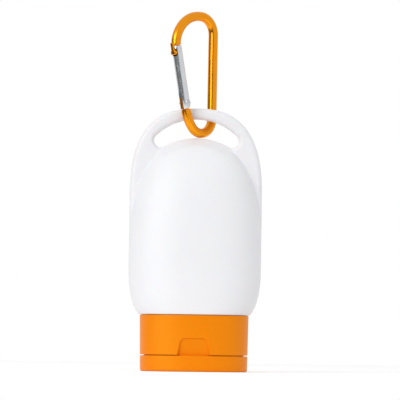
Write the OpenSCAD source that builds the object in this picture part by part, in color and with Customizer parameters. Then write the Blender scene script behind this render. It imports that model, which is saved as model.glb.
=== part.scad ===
// Squeeze bottle that stands on its flip-top cap, with a hanging tab and a snap hook.
// Origin: centre of the lid's flat outer face. +Z runs up the bottle towards the hook,
// -Y is the front with the thumb recess, +X is to the right. Lengths in millimetres.

/* [Bottle] */
// Width of the bottle across its widest part
bottle_w = 52.8; // [48:0.2:60]
// Depth of the bottle, front to back
bottle_d = 30; // [28.8:0.2:34]
// Height of the tab's top edge above the surface that the cap stands on
bottle_top = 105; // [102:0.5:112]
// Thickness of the blown wall
bottle_wall = 1.1; // [0.7:0.1:1.6]
// Height at which the sides start to close into the arch of the tab
arch_z = 70; // [68:0.5:72]
// Height below which the sides draw in towards the shoulder
foot_z = 50; // [48:0.5:52]
// Height over which that draw-in would close right up
foot_len = 33.5; // [33:0.5:36]
// Height above which the soft pillow of the body gets thinner
pillow_z = 45; // [43:0.5:47]
// Height at which the pillow runs out into the flat tab
pillow_top = 91.9; // [90:0.1:92.2]
// Width of the soft fold where the pillow meets the flat flange
pillow_fold = 1.6; // [1:0.1:2]
// Depth of the gap between the bottle's shoulder and the rim of the cap
shoulder_gap = 0.15; // [0.1:0.05:0.4]
// How far the shoulder stands out past the rim of the cap, all round
shoulder_overhang = 0.5; // [0.2:0.1:0.8]

/* [Hanging tab] */
// Thickness of the flat tab and of the flange down the sides
tab_t = 3.8; // [3.4:0.1:3.9]
// Height of the band of tab left above the hanging slot
band_h = 4.5; // [4:0.1:4.6]
// Height of the slot in the middle
slot_h = 7.5; // [7:0.1:8.5]
// Radius of the slot's upper edge
slot_upper_r = 23; // [21:0.5:26]
// Radius of the slot's lower edge
slot_lower_r = 26.4; // [24:0.5:30]
// Radius of the slot's round ends
slot_end_r = 2.7; // [2.2:0.1:3]

/* [Neck] */
// Outside diameter of the neck
neck_d = 22; // [19:0.2:22.4]
// Diameter of the bore through the neck
neck_bore = 18.8; // [15:0.2:19.4]
// Height of the snap bead's crest above the neck's surface
bead_h = 0.35; // [0.2:0.05:0.45]
// Distance from the neck's open end to the bead
bead_up = 3.2; // [2.6:0.1:4]
// Thickness of the foam liner that the neck seals on
liner_t = 1.2; // [0.8:0.1:2]
// Diameter of the hole through the foam liner
liner_hole = 8; // [5:0.5:10]

/* [Cap] */
// Width of the cap at its upper rim
cap_w = 43.3; // [41:0.1:45]
// Depth of the cap at its upper rim
cap_d = 28; // [26.8:0.1:28.6]
// Height of the whole cap, lid included
cap_h = 22.3; // [21:0.1:26]
// Height of the lid, up to the middle of the seam
lid_h = 6.4; // [6:0.1:7]
// Width of the seam between the lid and the base of the cap
seam_gap = 0.35; // [0.2:0.05:0.5]
// How much narrower the cap is at its foot than at its rim, each side
cap_draft = 0.35; // [0:0.05:0.6]
// Wall thickness of the cap
cap_wall = 1.3; // [1:0.1:1.6]
// Radius of the cap's lower outer corner
cap_corner = 0.8; // [0.3:0.1:1]
// Chamfer on the cap's upper rim
rim_chamfer = 0.25; // [0.1:0.05:0.4]
// Chamfer on both edges of the seam
seam_chamfer = 0.1; // [0.05:0.05:0.2]
// Thickness of the lid's flat outer face
lid_floor = 1.4; // [1:0.1:2]
// Thickness of the deck that carries the nozzle
deck_t = 1.4; // [1:0.1:2]
// Height from the seam to the underside of the deck
deck_rise = 1.9; // [1.4:0.1:2.4]
// Height of the lip that the lid closes over
lip_h = 1.1; // [0.8:0.1:1.4]
// Thickness of that lip
lip_wall = 0.8; // [0.6:0.1:1]
// Clearance between the lip and the lid's wall
lip_gap = 0.25; // [0.2:0.05:0.4]
// Wall of the sleeve that snaps over the neck
sleeve_wall = 1.1; // [0.8:0.1:1.4]
// Distance from the sleeve's end up to the cap's rim
sleeve_short = 2.2; // [1.6:0.1:3]
// Thickness of the ribs beside the sleeve
rib_t = 0.8; // [0.6:0.1:1.2]
// Height of those ribs
rib_h = 7; // [5:0.5:9]
// Distance of the ribs from the cap's middle line
rib_y = 4; // [3:0.5:5]

/* [Nozzle] */
// Diameter of the nozzle's orifice
orifice_d = 3; // [2:0.1:4]
// Outside diameter of the nozzle at the deck
nozzle_d = 6.4; // [5.6:0.1:8]
// How much thinner the nozzle is at its tip
nozzle_taper = 1.2; // [0.6:0.1:1.4]
// Gap between the nozzle's tip and the lid's inner face
nozzle_gap = 1.8; // [1.6:0.1:2]
// How far the lid's plug reaches into the orifice
plug_engage = 1.4; // [1:0.1:1.8]
// How much thinner the plug is at its end
plug_taper = 0.8; // [0.4:0.1:1]
// Height of the ring on the lid that centres the nozzle
ring_h = 1.2; // [0.8:0.1:1.4]
// Thickness of that ring
ring_wall = 0.8; // [0.6:0.1:1]

/* [Thumb recess] */
// Width of the thumb recess at the seam
recess_w = 13.2; // [11:0.1:16]
// Width of the thumb recess at its top
recess_top_w = 10.4; // [8:0.1:10.8]
// Height of the thumb recess above the seam
recess_h = 6.7; // [5:0.1:8]
// Depth of the thumb recess at the seam
recess_depth = 1.7; // [1:0.1:2.2]
// Radius of the recess's upper corners
recess_corner = 2; // [1:0.1:3]
// How far above the recess its face would run out through the cap's wall
recess_runout = 1.5; // [1:0.1:2]

/* [Living hinge] */
// Width of the hinge's middle film
film_w = 7; // [5:0.2:8]
// Width of each of the two outer straps
strap_w = 3; // [2:0.2:3.4]
// Distance from the middle to the middle of an outer strap
strap_x = 6.2; // [6:0.1:6.4]
// Thickness of the hinge film
film_t = 0.3; // [0.2:0.05:0.4]
// Height of the film on each side of the seam
film_h = 2; // [1.4:0.1:2.6]
// Radius of the round fold line
fold_r = 0.3; // [0.25:0.05:0.35]
// Depth of the flat that the hinge sits on
flat_depth = 0.75; // [0.6:0.05:0.9]
// Height of that flat above the seam
flat_rise = 4.6; // [3:0.1:6]
// Width of the flat left outside each outer strap
flat_margin = 1.2; // [0.8:0.1:2]

/* [Snap hook] */
// Diameter of the hook's rod
rod_d = 3.8; // [3.4:0.1:4]
// Length of the hook's straight spine
spine_len = 34; // [30:0.5:45]
// Radius of the slow bend below the gate's pivot
foot_bend_r = 16; // [15:0.5:17]
// Radius of the tight bend at the hook's lower end
low_bend_r = 6.1; // [6:0.1:6.3]
// Radius of the bend from the spine into the crown
crown_bend_r = 6.8; // [6.5:0.1:7]
// Length of the straight at the crown
crown_len = 0.6; // [0.4:0.1:1]
// Radius of the bend from the crown towards the nose
brow_bend_r = 13; // [12.5:0.1:13.5]
// Radius of the last bend, into the nose
nose_bend_r = 6; // [5.5:0.1:6.5]
// Distance of the gate's pivot end from the bottle's axis, along the hook's plane
pivot_along = 6; // [5.9:0.1:6.1]
// Angle between the hook's plane and the bottle's front
hook_yaw = 43; // [35:1:50]
// How far the hook hangs towards the back of the band, along its own plane
hook_shift = 1.1; // [1:0.1:1.2]
// Gap below the tab's band, down to the inside of the hook's bend
hook_slack = 3.5; // [3.2:0.1:3.8]

/* [Gate] */
// Outside diameter of the gate
gate_d = 4; // [3.8:0.1:4.2]
// Gap between each end of the gate and the rod's end
gate_gap = 0.25; // [0.2:0.05:0.3]
// Angle that the gate opens
gate_open = 26; // [20:1:28]
// Diameter of the rivet that the gate turns on
rivet_d = 1.6; // [1.2:0.1:1.8]
// Distance of the rivet from the rod's end
rivet_up = 2.6; // [2.4:0.1:2.8]
// How far the rivet's heads stand out of the gate
rivet_proud = 0.4; // [0.3:0.05:0.5]
// Height of each rivet head, with the part sunk in the gate's wall
rivet_head = 0.7; // [0.6:0.05:0.8]
// How far a rivet head stands out past the shank
rivet_flare = 0.3; // [0.2:0.05:0.4]
// Thickness of the flat tongues at the rod's two ends
tongue_t = 1.4; // [1.2:0.1:1.6]
// Width of the tongue that the gate turns on
tongue_w = 2.6; // [2.4:0.1:2.8]
// Length of that tongue past the rivet
tongue_past = 2.1; // [1.8:0.1:2.4]
// Width of the slits in the gate's ends
slit_t = 1.7; // [1.65:0.05:1.9]
// Length of the slit round the tongue
slit_up = 7.4; // [6:0.1:8]
// Width across the flats of the rod's ends
end_flat = 3.1; // [2.8:0.1:3.3]
// Length of those flats
flat_len = 2.4; // [2:0.1:2.8]
// Thickness of the T-shaped hook's head
head_t = 2.6; // [2.4:0.1:2.7]
// Height of the hook's head
head_h = 1.7; // [1.5:0.1:1.9]
// Height of the hook's neck
neck_h = 2.1; // [1.9:0.1:2.3]
// How far the hook's head stands out of the gate
head_proud = 0.6; // [0.4:0.1:0.8]
// How far the hook reaches past the gate's middle, on the inner side
hook_inner = 1.3; // [1.2:0.1:1.4]
// Clearance round the hook's head along the gate
mouth_gap = 0.55; // [0.5:0.05:0.6]
// Diameter of the bore for the spring
bore_d = 2.5; // [2.4:0.1:2.6]
// Length of the plunger
plunger_h = 3; // [2.6:0.1:3.4]
// Length of the spring in the closed gate
spring_h = 6.5; // [5.5:0.1:7.5]
// Wire diameter of the spring
spring_wire = 0.3; // [0.2:0.05:0.35]
// Number of turns in the spring
spring_turns = 7; // [5:1:9]

/* [Curves] */
// Fullness of the arch: 2 is an ellipse, more is squarer
arch_power = 2.55; // [2.4:0.05:2.7]
// Fullness of the draw-in towards the shoulder
foot_power = 3.5; // [3.3:0.1:3.7]
// Fullness of the pillow from side to side
pillow_side_power = 2.6; // [2.4:0.1:2.8]
// Fullness of the pillow towards its top
pillow_rise_power = 2.4; // [2.2:0.1:2.6]
// Fullness of the cap's oval
oval_power = 2.3; // [2.1:0.1:2.5]

/* [Hidden] */
$fn = 64;
// Small overlap where two shapes join, and how far a cutting shape runs past a face
eps = 0.01;
past = 1;
// Clearance of a close fit
fit = 0.05;

half_w = bottle_w / 2;
half_d = bottle_d / 2;
tab_r = tab_t / 2;
body_bottom = cap_h + shoulder_gap;
// Points round each ring of the bottle's skins, and rings up each stretch of them
body_sides = 64;
foot_rings = 8;
pillow_rings = 17;
tab_rings = 11;
core_sides = 36;
core_rings = 18;
// The last ring stops just short of the point where the skin would close
ring_stop = 0.03;
core_stop = 0.6;

// Slot: two arcs about centres on the axis, joined by round ends that touch both
slot_top = bottle_top - band_h;
slot_bottom = slot_top - slot_h;
slot_upper_z = slot_top - slot_upper_r;
slot_lower_z = slot_bottom - slot_lower_r;
end_reach_upper = slot_upper_r - slot_end_r;
end_reach_lower = slot_lower_r + slot_end_r;
end_z = (pow(end_reach_upper, 2) - pow(end_reach_lower, 2) - pow(slot_upper_z, 2)
         + pow(slot_lower_z, 2)) / (2 * (slot_lower_z - slot_upper_z));
end_x = sqrt(pow(end_reach_upper, 2) - pow(end_z - slot_upper_z, 2));
upper_angle = atan2(end_x, end_z - slot_upper_z);
lower_angle = atan2(end_x, end_z - slot_lower_z);

// Cap
lid_top = lid_h - seam_gap / 2;
base_bottom = lid_h + seam_gap / 2;
deck_bottom = base_bottom + deck_rise;
deck_top = deck_bottom + deck_t;
neck_end = deck_top + liner_t;
sleeve_top = cap_h - sleeve_short;
oval_sides = 72;
nozzle_tip = lid_floor + nozzle_gap;
plug_d = orifice_d - 2 * fit;
bead_z = neck_end + bead_up;
bead_lead = 0.6;
bead_back = 0.9;

// Hinge of the lid: a flat on the back of the cap, with the axis at the film's outer face
hinge_flat_y = cap_d / 2 - flat_depth;
hinge_y = hinge_flat_y + film_t;
hinge_z = lid_h;
flat_w = 2 * (strap_x + strap_w / 2 + flat_margin);
flat_top = lid_h + flat_rise;

// Snap hook, in its own plane: first number along the plane, second up.
// Bend table from the pivot to the nose: [straight length, radius, bend angle].
// The bends turn the rod once round, so that both ends lie along the gate.
heading = -77.5;
bends = [[0, foot_bend_r, 28], [0, low_bend_r, 139], [spine_len, crown_bend_r, 90],
         [crown_len, brow_bend_r, 76], [0, nose_bend_r, 27]];
bend_step = 10;
rod_sides = 20;
rod_r = rod_d / 2;
pivot_z = slot_top - hook_slack - rod_r - bend_lowest(bends);
start = [-pivot_along, pivot_z, heading];
nose = bend_end(start, bends, len(bends));
// Gate line, from the pivot end to the nose end
gate_lean = atan2(start[0] - nose[0], nose[1] - start[1]);
gate_run = norm([nose[0] - start[0], nose[1] - start[1]]);
gate_r = gate_d / 2;
gate_len = gate_run - 2 * gate_gap;
tongue_up = rivet_up + tongue_past;
// Extra opening of the relief that lets the gate's foot turn past the rod's end
relief_spare = 2;
relief_in = 0.3;
bore_r = bore_d / 2;
plunger_r = bore_r - fit;
plunger_z = tongue_up + 0.08;
nib_h = 1;
spring_r = bore_r - spring_wire / 2 - 2 * fit;
spring_z = plunger_z + plunger_h;
coil_steps = 12;

function swell(u, power) = pow(max(0, 1 - pow(u, power)), 1 / power);

// Half width of the body's outline, and how far the shoulder is scaled to fit the cap
function foot_half_w(z) = half_w * swell((foot_z - z) / foot_len, foot_power);
shoulder_fit = (cap_w / 2 + shoulder_overhang) / foot_half_w(body_bottom) - 1;
function body_half_w(z) =
    z >= arch_z ? half_w * swell((z - arch_z) / (bottle_top - arch_z), arch_power)
    : z >= foot_z ? half_w
    : foot_half_w(z) * (1 + shoulder_fit * (foot_z - z) / (foot_z - body_bottom));
function body_half_d(z) =
    z >= pillow_z ? half_d
    : half_d - (half_d - cap_d / 2 - shoulder_overhang)
      * pow((pillow_z - z) / (pillow_z - body_bottom), 3);

// Distance in from the outline, taken from the arch's own slope
function arch_value(x, z) = pow(abs(x) / half_w, arch_power)
    + pow((z - arch_z) / (bottle_top - arch_z), arch_power);
function arch_slope(x, z) = norm([
    arch_power / half_w * pow(abs(x) / half_w, arch_power - 1),
    arch_power / (bottle_top - arch_z) * pow((z - arch_z) / (bottle_top - arch_z), arch_power - 1)]);
function inset(x, z) = z > arch_z
    ? max(0, 1 - arch_value(x, z)) / max(eps / half_w, arch_slope(x, z))
    : body_half_w(z) - abs(x);

// Half thickness of the flat tab, of the pillow, and of the two blended together
function tab_half(x, z) = tab_r * sqrt(max(0, 1 - pow(1 - min(1, inset(x, z) / tab_r), 2)));
function pillow_rise(z, skin) = z > pillow_z
    ? pow(min(1, (z - pillow_z) / (pillow_top - skin - pillow_z)), pillow_rise_power) : 0;
function pillow_half(x, z, skin) = let (
    side = pow(min(1, abs(x) / (body_half_w(min(z, pillow_z)) - skin)), pillow_side_power))
    (body_half_d(z) - skin) * sqrt(max(0, 1 - side - pillow_rise(z, skin)));
function soft_max(a, b, k) = max(a, b) + (k > 0 ? pow(max(0, k - abs(a - b)), 2) / (4 * k) : 0);
function shell_half(x, z) = let (t = tab_half(x, z))
    soft_max(pillow_half(x, z, 0), t, pillow_fold * t / tab_r);
function core_half_w(z) = (body_half_w(min(z, pillow_z)) - bottle_wall)
    * pow(max(0, 1 - pillow_rise(z, bottle_wall)), 1 / pillow_side_power);

// Heights that lie close together at the end of a stretch
function ease(k, n) = sin(90 * k / n);
function ring_heights() = concat(
    [for (k = [0:foot_rings - 1])
        pillow_z - (pillow_z - body_bottom) * ease(foot_rings - k, foot_rings)],
    [for (k = [0:pillow_rings - 1]) pillow_z + (pillow_top - pillow_z) * ease(k, pillow_rings)],
    [for (k = [0:tab_rings])
        pillow_top + (bottle_top - ring_stop - pillow_top) * ease(k, tab_rings)]);

// A closed skin through rings that all have the same number of points
module skin(rings) {
    n = len(rings[0]);
    last = len(rings) - 1;
    points = [for (ring = rings) each ring];
    sides = [for (k = [0:last - 1]) for (i = [0:n - 1]) let (j = (i + 1) % n) each [
        [k * n + i, (k + 1) * n + i, k * n + j],
        [k * n + j, (k + 1) * n + i, (k + 1) * n + j]]];
    foot = [for (i = [0:n - 1]) i];
    head = [for (i = [0:n - 1]) last * n + n - 1 - i];
    polyhedron(points, concat([foot], sides, [head]));
}

// -1, 0 or 1, with 0 for what is as good as on the middle line
function side_of(v) = abs(v) < eps ? 0 : sign(v);

module body_skin() {
    skin([for (z = ring_heights()) [for (i = [0:body_sides - 1]) let (
        a = 360 * i / body_sides,
        x = body_half_w(z) * cos(a))
        [x, side_of(sin(a)) * shell_half(x, z), z]]]);
}

// The hollow inside the blown wall
module core_skin() {
    low = body_bottom + bottle_wall;
    high = pillow_top - bottle_wall - core_stop;
    skin([for (k = [0:core_rings]) let (z = low + (high - low) * ease(k, core_rings))
        [for (i = [0:core_sides - 1]) let (
            a = 360 * i / core_sides,
            x = core_half_w(z) * cos(a))
            [x, side_of(sin(a)) * pillow_half(x, z, bottle_wall), z]]]);
}

// Outline of the slot at a growth g, anticlockwise seen from the back
function arc_points(cx, cz, r, from, to, n) =
    [for (k = [0:n]) let (a = from + (to - from) * k / n) [cx + r * sin(a), cz + r * cos(a)]];
function slot_outline(g) = let (turn = 30, long = 12, short = 5) concat(
    arc_points(0, slot_upper_z, slot_upper_r + g, -upper_angle, upper_angle, long),
    arc_points(end_x, end_z, slot_end_r + g, upper_angle + turn, 180 + lower_angle - turn, short),
    arc_points(0, slot_lower_z, slot_lower_r - g, lower_angle, -lower_angle, long),
    arc_points(-end_x, end_z, slot_end_r + g, 180 - lower_angle + turn, 360 - upper_angle - turn,
               short));

// The slot as a tool whose mouth flares, so that it leaves the tab with round edges
module slot_tool() {
    steps = 8;
    sweep = 84;
    flares = concat([[-bottle_d, 1]], [for (k = [0:steps]) let (a = sweep * (2 * k / steps - 1))
        [tab_r * sin(a), 1 - cos(a)]], [[bottle_d, 1]]);
    skin([for (f = flares) [for (p = slot_outline(tab_r * f[1])) [p[0], f[0], p[1]]]]);
}

module bottle_body() color("white") {
    inside = neck_bore / 2 - past;
    root = body_bottom + bead_lead;
    difference() {
        union() {
            body_skin();
            rotate_extrude() polygon([
                [inside, neck_end], [neck_d / 2, neck_end], [neck_d / 2, bead_z - bead_lead],
                [neck_d / 2 + bead_h, bead_z], [neck_d / 2, bead_z + bead_back],
                [neck_d / 2, root], [inside, root]]);
        }
        core_skin();
        translate([0, 0, neck_end - past])
            cylinder(d = neck_bore, h = body_bottom + bottle_wall - neck_end + 3 * past);
        slot_tool();
    }
}

module neck_liner() color("gainsboro") translate([0, 0, deck_top]) difference() {
    cylinder(d = neck_d, h = liner_t);
    translate([0, 0, -past]) cylinder(d = liner_hole, h = liner_t + 2 * past);
}

// Oval of the cap, with its half sizes
function cap_inset(z) = cap_draft * (1 - z / cap_h);
function bulge(v) = side_of(v) * pow(abs(v), 2 / oval_power);
function oval(a, b) = [for (i = [0:oval_sides - 1]) let (t = 360 * i / oval_sides)
    [a * bulge(cos(t)), b * bulge(sin(t))]];
function cap_ring(z, in) = let (inward = cap_inset(z) + in)
    [for (p = oval(cap_w / 2 - inward, cap_d / 2 - inward)) [p[0], p[1], z]];
module oval_hole(in, low, high) {
    translate([0, 0, low]) linear_extrude(height = high - low)
        polygon(oval(cap_w / 2 - cap_draft - in, cap_d / 2 - cap_draft - in));
}
module hinge_flat() {
    translate([-flat_w / 2, hinge_flat_y, -past])
        cube([flat_w, flat_depth + past, flat_top + past]);
}

// The recess tool leans back, so that it is deepest at the seam
module recess_tool() {
    lean = atan2(recess_depth, recess_h + recess_runout);
    slant = atan2((recess_w - recess_top_w) / 2, recess_h);
    corner_up = recess_h - recess_corner;
    corner_x = recess_w / 2 - (recess_corner + corner_up * sin(slant)) / cos(slant);
    corner = [for (k = [0:6]) let (a = slant + (90 - slant) * k / 6)
        [corner_x + recess_corner * cos(a), corner_up + recess_corner * sin(a)]];
    half = concat([[recess_w / 2, -past], [recess_w / 2, 0]], corner);
    other = [for (k = [len(half) - 1:-1:0]) [-half[k][0], half[k][1]]];
    translate([0, recess_depth + cap_draft - cap_d / 2, base_bottom]) rotate([90 + lean, 0, 0])
        linear_extrude(height = cap_d / 2) polygon(concat(half, other));
}

module cap_base() color([0.93, 0.52, 0.1]) difference() {
    union() {
        difference() {
            skin([cap_ring(base_bottom, seam_chamfer), cap_ring(base_bottom + seam_chamfer, 0),
                  cap_ring(cap_h - rim_chamfer, 0), cap_ring(cap_h, rim_chamfer)]);
            oval_hole(cap_wall, deck_top, cap_h + past);
            oval_hole(cap_wall, base_bottom - past, deck_bottom);
        }
        // Sleeve that snaps over the bead on the neck
        translate([0, 0, deck_top - eps]) difference() {
            cylinder(r = neck_d / 2 + fit + sleeve_wall, h = sleeve_top - deck_top);
            translate([0, 0, -past]) cylinder(r = neck_d / 2 + fit, h = cap_h);
        }
        // Nozzle
        translate([0, 0, nozzle_tip])
            cylinder(d1 = nozzle_d - nozzle_taper, d2 = nozzle_d, h = deck_bottom - nozzle_tip + eps);
        // Lip that the lid closes over, and the ledge that carries it
        difference() {
            oval_hole(cap_wall - eps, base_bottom, deck_bottom + eps);
            oval_hole(cap_wall + lip_gap + lip_wall, base_bottom - past, deck_bottom + past);
        }
        difference() {
            oval_hole(cap_wall + lip_gap, base_bottom - lip_h, base_bottom + eps);
            oval_hole(cap_wall + lip_gap + lip_wall, base_bottom - lip_h - past, base_bottom + past);
            translate([-flat_w / 2, hinge_flat_y - 3 * cap_wall, 0])
                cube([flat_w, 6 * cap_wall, base_bottom]);
        }
        // Pad that keeps the wall whole behind the thumb recess
        translate([-recess_w / 2 - past, -cap_d / 2 + cap_wall, base_bottom])
            cube([recess_w + 2 * past, cap_d / 2 - cap_wall - neck_d / 2 - 2 * fit,
                  recess_h + recess_runout]);
        // Ribs between the sleeve and the wall
        for (m = [0, 1]) mirror([m, 0, 0]) for (y = [-rib_y, rib_y])
            translate([neck_d / 2 + sleeve_wall / 2, y - rib_t / 2, deck_top - eps])
                cube([(cap_w - neck_d) / 2 - cap_draft - cap_wall - rib_t, rib_t, rib_h]);
    }
    translate([0, 0, -past]) cylinder(d = orifice_d, h = cap_h);
    // Groove for the bead on the neck
    translate([0, 0, bead_z]) rotate_extrude() polygon([
        [neck_d / 2 - past, -bead_lead - 2 * fit], [neck_d / 2 + fit, -bead_lead - 2 * fit],
        [neck_d / 2 + bead_h + fit, 0], [neck_d / 2 + fit, bead_back + 2 * fit],
        [neck_d / 2 - past, bead_back + 2 * fit]]);
    recess_tool();
    hinge_flat();
}

module flip_lid() color([0.93, 0.52, 0.1]) {
    difference() {
        skin([cap_ring(0, cap_corner), cap_ring(cap_corner * 0.15, cap_corner * 0.47),
              cap_ring(cap_corner * 0.5, cap_corner * 0.14), cap_ring(cap_corner, 0),
              cap_ring(lid_top - seam_chamfer, 0), cap_ring(lid_top, seam_chamfer)]);
        oval_hole(cap_wall, lid_floor, lid_h + past);
        hinge_flat();
    }
    translate([0, 0, lid_floor - eps]) {
        // Plug that closes the orifice, with a tapered end
        cylinder(d = plug_d, h = nozzle_gap + 4 * fit);
        translate([0, 0, nozzle_gap + 4 * fit - eps])
            cylinder(d1 = plug_d, d2 = plug_d - plug_taper, h = plug_engage - 4 * fit);
        // Ring that centres the nozzle
        difference() {
            cylinder(r = nozzle_d / 2 + ring_wall + 8 * fit, h = ring_h);
            translate([0, 0, -past]) cylinder(r = nozzle_d / 2 + 8 * fit, h = ring_h + 2 * past);
        }
    }
    for (x = [-strap_x, 0, strap_x]) lid_film(x, x == 0 ? film_w : strap_w);
}

// Half of the film below the seam, which moves with the lid
module lid_film(x, w) {
    difference() {
        translate([x - w / 2, hinge_flat_y - eps, hinge_z - film_h])
            cube([w, film_t + eps, film_h - 2 * fit]);
        translate([x - w, hinge_y, hinge_z]) rotate([0, 90, 0]) cylinder(r = fold_r + fit, h = 2 * w);
    }
}

// Half of the film above the seam, with the round fold line on the axis
module film(x, w) {
    color([0.93, 0.52, 0.1]) union() {
        translate([x - w / 2, hinge_flat_y, hinge_z + fit]) cube([w, film_t, film_h]);
        translate([x - w / 2, hinge_y, hinge_z]) rotate([0, 90, 0]) cylinder(r = fold_r, h = w);
    }
}
module hinge_film() film(0, film_w);
module hinge_strap_left() film(-strap_x, strap_w);
module hinge_strap_right() film(strap_x, strap_w);

// Where the rod is after n bends, starting from [along, up, heading]
function one_bend(p, b) = let (
    along = p[0] + b[0] * cos(p[2]), up = p[1] + b[0] * sin(p[2]),
    cx = along - b[1] * sin(p[2]), cz = up + b[1] * cos(p[2]), h = p[2] + b[2])
    [cx + b[1] * sin(h), cz - b[1] * cos(h), h];
function bend_end(p, list, n) = n == 0 ? p : one_bend(bend_end(p, list, n - 1), list[n - 1]);
// Height of the lowest point of the first two bends, below the start
function bend_lowest(list) = let (p = bend_end([0, 0, heading], list, 1))
    p[1] + list[1][1] * cos(p[2]) - list[1][1];

// Stations along the rod, each [along, up, heading]
function rod_stations() = concat([start], [for (k = [0:len(bends) - 1]) let (
    p = bend_end(start, bends, k), b = bends[k], n = ceil(b[2] / bend_step),
    first = b[0] > 0 ? 0 : 1)
    for (i = [first:n]) one_bend(p, [b[0], b[1], b[2] * i / n])]);

// The hook's plane, with the middle of the band on its own zero
module in_hook_plane() {
    translate([0, -hook_shift * sin(hook_yaw), 0]) rotate([0, 0, hook_yaw]) children();
}
// Stands children on the pivot end, with +Z along the closed gate
module on_gate_line() {
    in_hook_plane() translate([start[0], 0, start[1]]) rotate([0, -gate_lean, 0]) children();
}
// A pin across the gate, centred on the rivet's axis
module across_gate(d, h) {
    translate([0, 0, rivet_up]) rotate([90, 0, 0]) cylinder(d = d, h = h, center = true);
}

module hook_body() color([0.93, 0.55, 0.1]) {
    difference() {
        in_hook_plane() skin([for (p = rod_stations()) [for (i = [0:rod_sides - 1]) let (
            a = 360 * i / rod_sides, in = rod_r * cos(a))
            [p[0] - in * sin(p[2]), -rod_r * sin(a), p[1] + in * cos(p[2])]]]);
        // Two milled flats on each end
        on_gate_line() for (z = [-flat_len, gate_run - past], m = [0, 1]) mirror([0, m, 0])
            translate([-rod_d, end_flat / 2, z]) cube([2 * rod_d, rod_d, flat_len + past]);
    }
    on_gate_line() {
        // Tongue that the gate pivots on
        difference() {
            translate([-tongue_w / 2, -tongue_t / 2, -past])
                cube([tongue_w, tongue_t, tongue_up + past]);
            across_gate(rivet_d + 2 * fit, 2 * gate_d);
        }
        // T-shaped hook that holds the closed gate
        translate([0, 0, gate_run - neck_h - head_h]) {
            translate([-rod_r, -tongue_t / 2, 0])
                cube([rod_r + hook_inner, tongue_t, neck_h + head_h + past]);
            translate([-gate_r - head_proud, -head_t / 2, 0])
                cube([gate_r + head_proud + hook_inner, head_t, head_h]);
        }
    }
}

module gate() color([0.72, 0.74, 0.76]) on_gate_line() difference() {
    mouth_end = gate_d + hook_inner + 6 * fit;
    translate([0, 0, gate_gap]) cylinder(r = gate_r, h = gate_len);
    // Slit round the pivot tongue
    translate([-gate_d, -slit_t / 2, -past]) cube([2 * gate_d, slit_t, slit_up + past]);
    // Bore for the spring and the plunger
    translate([0, 0, past]) cylinder(r = bore_r, h = spring_z + spring_h - past);
    // Relief on the inner side of the foot, which turns towards the rod's end
    translate([-relief_in, -gate_d, gate_gap]) rotate([0, -gate_open - relief_spare, 0])
        translate([0, 0, -gate_d]) cube([2 * gate_d, 2 * gate_d, gate_d]);
    // Rivet hole
    across_gate(rivet_d, 2 * gate_d + past);
    // Keyhole mouth for the hook: narrow at the end, wide for the head
    translate([-gate_d, -slit_t / 2, gate_run - neck_h - past])
        cube([mouth_end, slit_t, neck_h + 2 * past]);
    translate([-gate_d, -head_t / 2 - 4 * fit, gate_run - neck_h - head_h - mouth_gap])
        cube([mouth_end, head_t + 8 * fit, head_h + 2 * mouth_gap]);
}

module gate_rivet() color("silver") on_gate_line() {
    across_gate(rivet_d, gate_d + 2 * rivet_proud - 2 * fit);
    for (m = [0, 1]) mirror([0, m, 0])
        translate([0, -gate_r - rivet_proud, rivet_up]) rotate([-90, 0, 0])
            cylinder(d1 = rivet_d, d2 = rivet_d + 2 * rivet_flare, h = rivet_head);
}

module gate_plunger() color("dimgray") on_gate_line() translate([0, 0, plunger_z]) union() {
    cylinder(r = plunger_r, h = plunger_h - nib_h);
    translate([0, 0, plunger_h - nib_h - eps])
        cylinder(r = spring_r - spring_wire, h = nib_h + eps);
}

// The spring's wire as a tube swept along its coil
module gate_spring() color("gray") on_gate_line() {
    rise = (spring_h + nib_h - spring_wire) / spring_turns;
    lead = atan2(rise, 2 * PI * spring_r);
    r = spring_wire / 2;
    translate([0, 0, spring_z - nib_h + r]) skin([for (k = [0:coil_steps * spring_turns])
        let (a = 360 * k / coil_steps) [for (i = [0:5]) let (
            out = spring_r + r * cos(60 * i), along = -r * sin(60 * i))
            [out * cos(a) + along * sin(lead) * sin(a), out * sin(a) - along * sin(lead) * cos(a),
             rise * k / coil_steps + along * cos(lead)]]]);
}

bottle_body();
neck_liner();
cap_base();
flip_lid();
hinge_film();
hinge_strap_left();
hinge_strap_right();
hook_body();
gate();
gate_rivet();
gate_spring();
gate_plunger();
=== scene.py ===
# %% [markdown]
# # Squeeze bottle with a flip-top cap and a snap hook
# The bottle stands on its cap. Its top is a flat tab with a slot, and a snap hook is clipped
# through the slot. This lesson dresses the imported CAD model: each step says what the piece is
# on the real object, how it could be made, and why one way was chosen. All lengths are metres,
# in the frame of the CAD model: Z up the bottle, -Y to the front, X to the right.

import math

import bmesh
import bpy
import numpy as np
from mathutils import Matrix, Vector
from mathutils.geometry import delaunay_2d_cdt


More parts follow.
